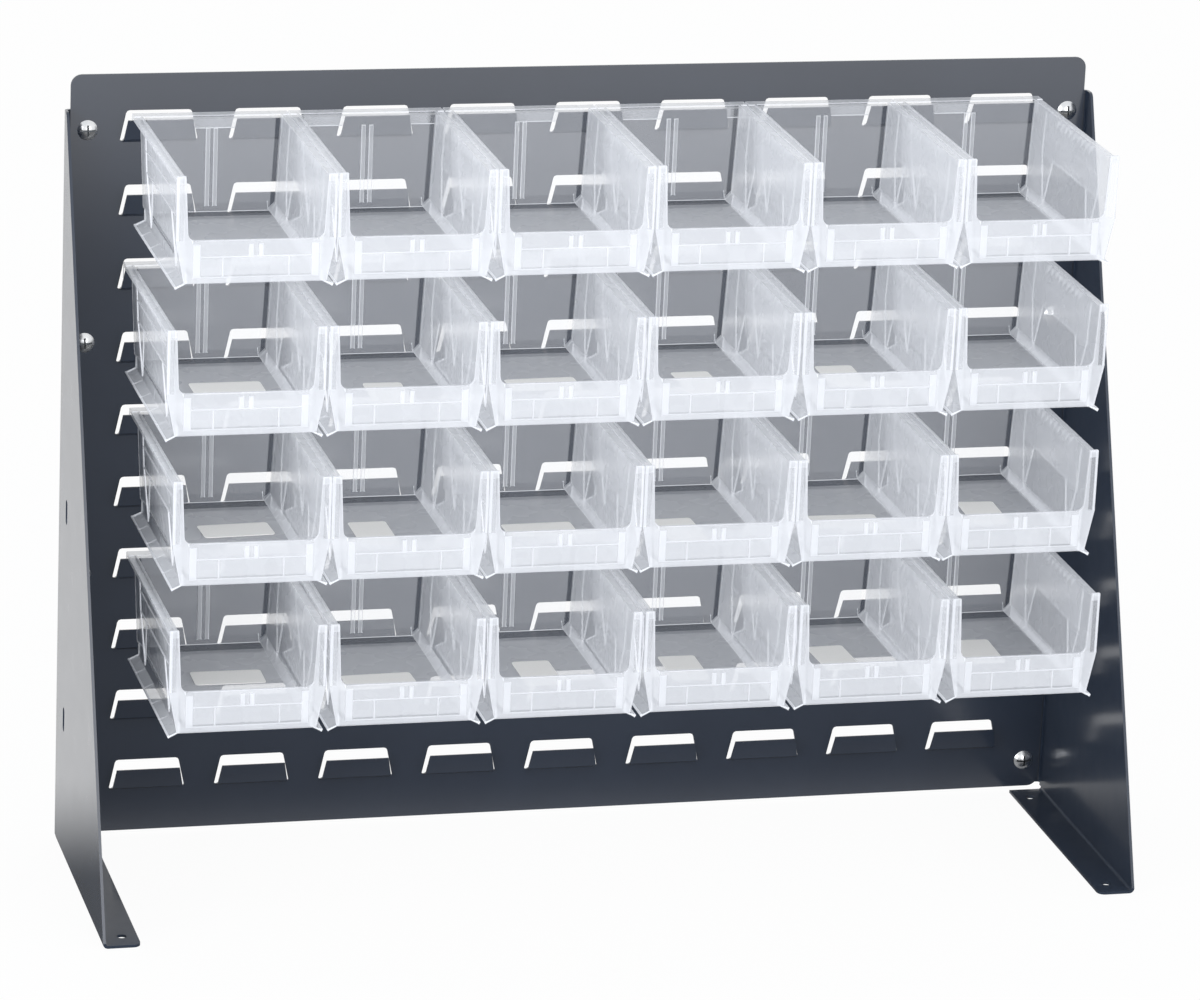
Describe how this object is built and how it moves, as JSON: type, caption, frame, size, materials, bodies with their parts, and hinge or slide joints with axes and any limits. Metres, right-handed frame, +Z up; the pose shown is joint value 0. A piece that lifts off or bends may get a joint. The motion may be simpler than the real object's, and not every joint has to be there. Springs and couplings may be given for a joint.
{
  "type": "bin rack",
  "caption": "Bench-top bin rack: an upright louvred steel panel on two triangular end brackets, hung with rows of clear open-fronted stacking bins that lift off.",
  "frame": {"origin": "bottom centre of the rack's box, on the bench", "axes": "+X along the panel, +Y to the back, +Z up"},
  "size_m": [0.711, 0.2134, 0.5368],
  "materials": {
    "panel_paint": "semi-gloss powder coat",
    "bracket_paint": "semi-gloss powder coat",
    "zinc": "bright zinc plate",
    "clear_plastic": "clear moulded polypropylene"
  },
  "bodies": {
    "rack_frame": {"louvered_panel": "panel_paint", "left_end_bracket": "bracket_paint", "right_end_bracket": "bracket_paint", "panel_screws": "zinc", "panel_nuts": "zinc"},
    "bin_r1_c1": {"bin_r1_c1": "clear_plastic"},
    "bin_r1_c2": {"bin_r1_c2": "clear_plastic"},
    "bin_r1_c3": {"bin_r1_c3": "clear_plastic"},
    "bin_r1_c4": {"bin_r1_c4": "clear_plastic"},
    "bin_r1_c5": {"bin_r1_c5": "clear_plastic"},
    "bin_r1_c6": {"bin_r1_c6": "clear_plastic"},
    "bin_r2_c1": {"bin_r2_c1": "clear_plastic"},
    "bin_r2_c2": {"bin_r2_c2": "clear_plastic"},
    "bin_r2_c3": {"bin_r2_c3": "clear_plastic"},
    "bin_r2_c4": {"bin_r2_c4": "clear_plastic"},
    "bin_r2_c5": {"bin_r2_c5": "clear_plastic"},
    "bin_r2_c6": {"bin_r2_c6": "clear_plastic"},
    "bin_r3_c1": {"bin_r3_c1": "clear_plastic"},
    "bin_r3_c2": {"bin_r3_c2": "clear_plastic"},
    "bin_r3_c3": {"bin_r3_c3": "clear_plastic"},
    "bin_r3_c4": {"bin_r3_c4": "clear_plastic"},
    "bin_r3_c5": {"bin_r3_c5": "clear_plastic"},
    "bin_r3_c6": {"bin_r3_c6": "clear_plastic"},
    "bin_r4_c1": {"bin_r4_c1": "clear_plastic"},
    "bin_r4_c2": {"bin_r4_c2": "clear_plastic"},
    "bin_r4_c3": {"bin_r4_c3": "clear_plastic"},
    "bin_r4_c4": {"bin_r4_c4": "clear_plastic"},
    "bin_r4_c5": {"bin_r4_c5": "clear_plastic"},
    "bin_r4_c6": {"bin_r4_c6": "clear_plastic"}
  },
  "joints": [
    {"name": "bin_r1_c1_lift", "type": "slide", "parent": "rack_frame", "child": "bin_r1_c1", "axis": [0, 0, 1], "range_m": [0, 0.022]},
    {"name": "bin_r1_c2_lift", "type": "slide", "parent": "rack_frame", "child": "bin_r1_c2", "axis": [0, 0, 1], "range_m": [0, 0.022]},
    {"name": "bin_r1_c3_lift", "type": "slide", "parent": "rack_frame", "child": "bin_r1_c3", "axis": [0, 0, 1], "range_m": [0, 0.022]},
    {"name": "bin_r1_c4_lift", "type": "slide", "parent": "rack_frame", "child": "bin_r1_c4", "axis": [0, 0, 1], "range_m": [0, 0.022]},
    {"name": "bin_r1_c5_lift", "type": "slide", "parent": "rack_frame", "child": "bin_r1_c5", "axis": [0, 0, 1], "range_m": [0, 0.022]},
    {"name": "bin_r1_c6_lift", "type": "slide", "parent": "rack_frame", "child": "bin_r1_c6", "axis": [0, 0, 1], "range_m": [0, 0.022]},
    {"name": "bin_r2_c1_lift", "type": "slide", "parent": "rack_frame", "child": "bin_r2_c1", "axis": [0, 0, 1], "range_m": [0, 0.022]},
    {"name": "bin_r2_c2_lift", "type": "slide", "parent": "rack_frame", "child": "bin_r2_c2", "axis": [0, 0, 1], "range_m": [0, 0.022]},
    {"name": "bin_r2_c3_lift", "type": "slide", "parent": "rack_frame", "child": "bin_r2_c3", "axis": [0, 0, 1], "range_m": [0, 0.022]},
    {"name": "bin_r2_c4_lift", "type": "slide", "parent": "rack_frame", "child": "bin_r2_c4", "axis": [0, 0, 1], "range_m": [0, 0.022]},
    {"name": "bin_r2_c5_lift", "type": "slide", "parent": "rack_frame", "child": "bin_r2_c5", "axis": [0, 0, 1], "range_m": [0, 0.022]},
    {"name": "bin_r2_c6_lift", "type": "slide", "parent": "rack_frame", "child": "bin_r2_c6", "axis": [0, 0, 1], "range_m": [0, 0.022]},
    {"name": "bin_r3_c1_lift", "type": "slide", "parent": "rack_frame", "child": "bin_r3_c1", "axis": [0, 0, 1], "range_m": [0, 0.022]},
    {"name": "bin_r3_c2_lift", "type": "slide", "parent": "rack_frame", "child": "bin_r3_c2", "axis": [0, 0, 1], "range_m": [0, 0.022]},
    {"name": "bin_r3_c3_lift", "type": "slide", "parent": "rack_frame", "child": "bin_r3_c3", "axis": [0, 0, 1], "range_m": [0, 0.022]},
    {"name": "bin_r3_c4_lift", "type": "slide", "parent": "rack_frame", "child": "bin_r3_c4", "axis": [0, 0, 1], "range_m": [0, 0.022]},
    {"name": "bin_r3_c5_lift", "type": "slide", "parent": "rack_frame", "child": "bin_r3_c5", "axis": [0, 0, 1], "range_m": [0, 0.022]},
    {"name": "bin_r3_c6_lift", "type": "slide", "parent": "rack_frame", "child": "bin_r3_c6", "axis": [0, 0, 1], "range_m": [0, 0.022]},
    {"name": "bin_r4_c1_lift", "type": "slide", "parent": "rack_frame", "child": "bin_r4_c1", "axis": [0, 0, 1], "range_m": [0, 0.022]},
    {"name": "bin_r4_c2_lift", "type": "slide", "parent": "rack_frame", "child": "bin_r4_c2", "axis": [0, 0, 1], "range_m": [0, 0.022]},
    {"name": "bin_r4_c3_lift", "type": "slide", "parent": "rack_frame", "child": "bin_r4_c3", "axis": [0, 0, 1], "range_m": [0, 0.022]},
    {"name": "bin_r4_c4_lift", "type": "slide", "parent": "rack_frame", "child": "bin_r4_c4", "axis": [0, 0, 1], "range_m": [0, 0.022]},
    {"name": "bin_r4_c5_lift", "type": "slide", "parent": "rack_frame", "child": "bin_r4_c5", "axis": [0, 0, 1], "range_m": [0, 0.022]},
    {"name": "bin_r4_c6_lift", "type": "slide", "parent": "rack_frame", "child": "bin_r4_c6", "axis": [0, 0, 1], "range_m": [0, 0.022]}
  ]
}
